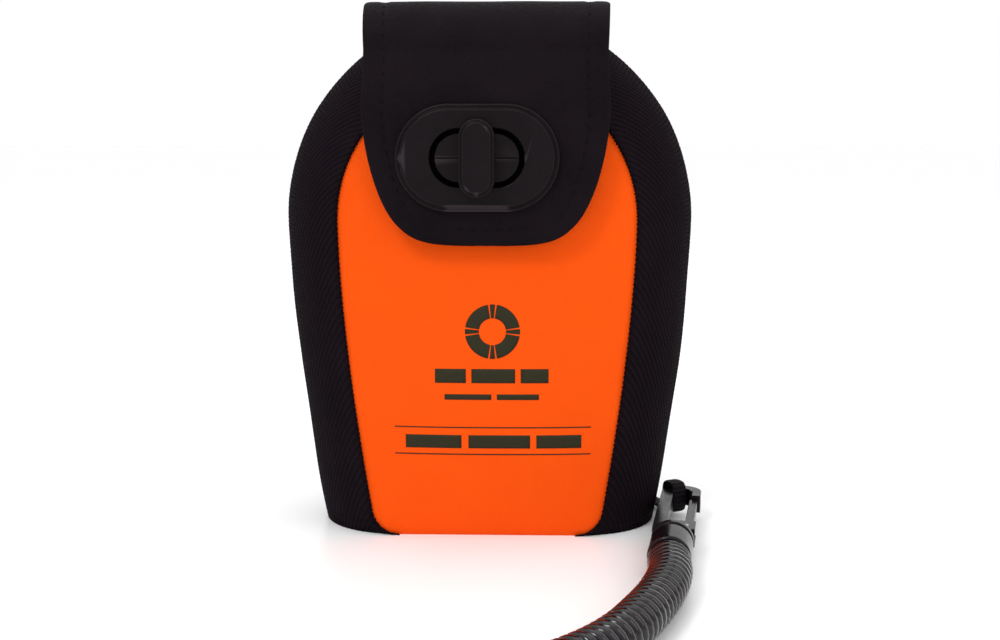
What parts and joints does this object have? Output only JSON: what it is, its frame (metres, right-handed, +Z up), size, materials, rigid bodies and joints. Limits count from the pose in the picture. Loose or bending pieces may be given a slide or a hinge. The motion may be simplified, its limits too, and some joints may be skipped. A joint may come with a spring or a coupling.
{
  "type": "emergency position beacon",
  "caption": "Emergency radio beacon in a standing padded pouch with webbing sides, a turn lock flap and a coiled lanyard with snap hooks.",
  "frame": {"origin": "centre of the pouch's flat base, on the surface it stands on", "axes": "+Z up, -Y towards the flap and lock at the front, +X to the right seen from the front, where the lanyard is"},
  "size_m": [0.1378, 0.1643, 0.135],
  "materials": {
    "orange_neoprene": "bright orange knitted face over foam",
    "black_neoprene": "black knitted face over foam",
    "black_webbing": "ribbed black webbing",
    "flap_laminate": "finely ribbed black fabric laminate",
    "black_plastic": "satin moulded plastic",
    "hook_plastic": "smooth moulded plastic",
    "coil_plastic": "glossy coiled cord jacket",
    "case_yellow": "fine textured housing",
    "red_plastic": "satin",
    "seal_rubber": "soft seal",
    "steel": "plain steel",
    "clear_lens": "clear lens",
    "board_green": "solder resist",
    "ceramic": "ceramic patch",
    "cell_wrap": "shrink sleeve",
    "led_white": "clear moulded lamp"
  },
  "bodies": {
    "pouch": {"front_panel": "orange_neoprene", "back_panel": "black_neoprene", "left_gusset": "black_webbing", "right_gusset": "black_webbing", "base_panel": "black_neoprene", "mouth_binding": "black_webbing", "flap_anchor": "flap_laminate", "belt_loop": "black_webbing", "stud_base": "black_plastic", "stud_washer": "steel", "detent_spring": "steel", "front_housing": "case_yellow", "rear_housing": "case_yellow", "housing_gasket": "seal_rubber", "housing_screws": "steel", "antenna_lid": "case_yellow", "lid_gasket": "seal_rubber", "lid_hinge_pin": "steel", "lid_latch": "red_plastic", "antenna_coil": "steel", "antenna_post": "black_plastic", "strobe_lens": "clear_lens", "strobe_led": "led_white", "distress_seal": "seal_rubber", "test_seal": "seal_rubber", "circuit_board": "board_green", "gps_antenna": "ceramic", "battery_cells": "cell_wrap", "battery_holder": "black_plastic", "lanyard_tab": "black_webbing", "near_hook": "hook_plastic", "near_gate_pin": "steel", "near_sleeve": "hook_plastic", "near_collar": "hook_plastic", "lanyard_coil": "coil_plastic", "far_sleeve": "hook_plastic", "far_collar": "hook_plastic"},
    "flap_top": {"flap_top": "flap_laminate"},
    "flap_front": {"flap_front": "flap_laminate", "eyelet_plate": "black_plastic", "eyelet_back_plate": "black_plastic"},
    "knob": {"turn_knob": "black_plastic", "knob_retainer": "steel"},
    "distress_button": {"distress_button": "red_plastic"},
    "test_button": {"test_button": "black_plastic"},
    "near_gate": {"near_gate": "hook_plastic"},
    "far_swivel": {"far_hook": "hook_plastic", "far_gate_pin": "steel"},
    "far_gate": {"far_gate": "hook_plastic"}
  },
  "joints": [
    {"name": "flap_fold", "type": "hinge", "parent": "flap_top", "child": "flap_front", "pos_m": [0, -0.0135, 0.135], "axis": [-1, 0, 0], "range_deg": [0, 120]},
    {"name": "flap_hinge", "type": "hinge", "parent": "pouch", "child": "flap_top", "pos_m": [0, 0.0243, 0.11215], "axis": [-1, 0, 0], "range_deg": [0, 150]},
    {"name": "knob_turn", "type": "hinge", "parent": "pouch", "child": "knob", "pos_m": [-0.002, -0.033, 0.097], "axis": [0, -1, 0], "range_deg": [0, 90]},
    {"name": "distress_press", "type": "slide", "parent": "pouch", "child": "distress_button", "axis": [0, 1, 0], "range_m": [0, 0.0012], "stiffness_N_per_m": 800},
    {"name": "test_press", "type": "slide", "parent": "pouch", "child": "test_button", "axis": [0, 1, 0], "range_m": [0, 0.0012], "stiffness_N_per_m": 800},
    {"name": "near_gate_open", "type": "hinge", "parent": "pouch", "child": "near_gate", "pos_m": [0.04939, -0.03468, 0.0053], "axis": [0, 0, 1], "range_deg": [0, 9], "stiffness_Nm_per_rad": 0.03, "springref_deg": -17.19},
    {"name": "far_swivel_turn", "type": "hinge", "parent": "pouch", "child": "far_swivel", "pos_m": [-0.0365, -0.1315, 0.0053], "axis": [-1, 0, 0], "continuous": true},
    {"name": "far_gate_open", "type": "hinge", "parent": "far_swivel", "child": "far_gate", "pos_m": [-0.0445, -0.1287, 0.0053], "axis": [0, 0, 1], "range_deg": [0, 9], "stiffness_Nm_per_rad": 0.03, "springref_deg": -17.19}
  ],
  "couplings": [
    {"joint": "flap_hinge", "follows": "flap_fold", "ratio": 1.25}
  ]
}
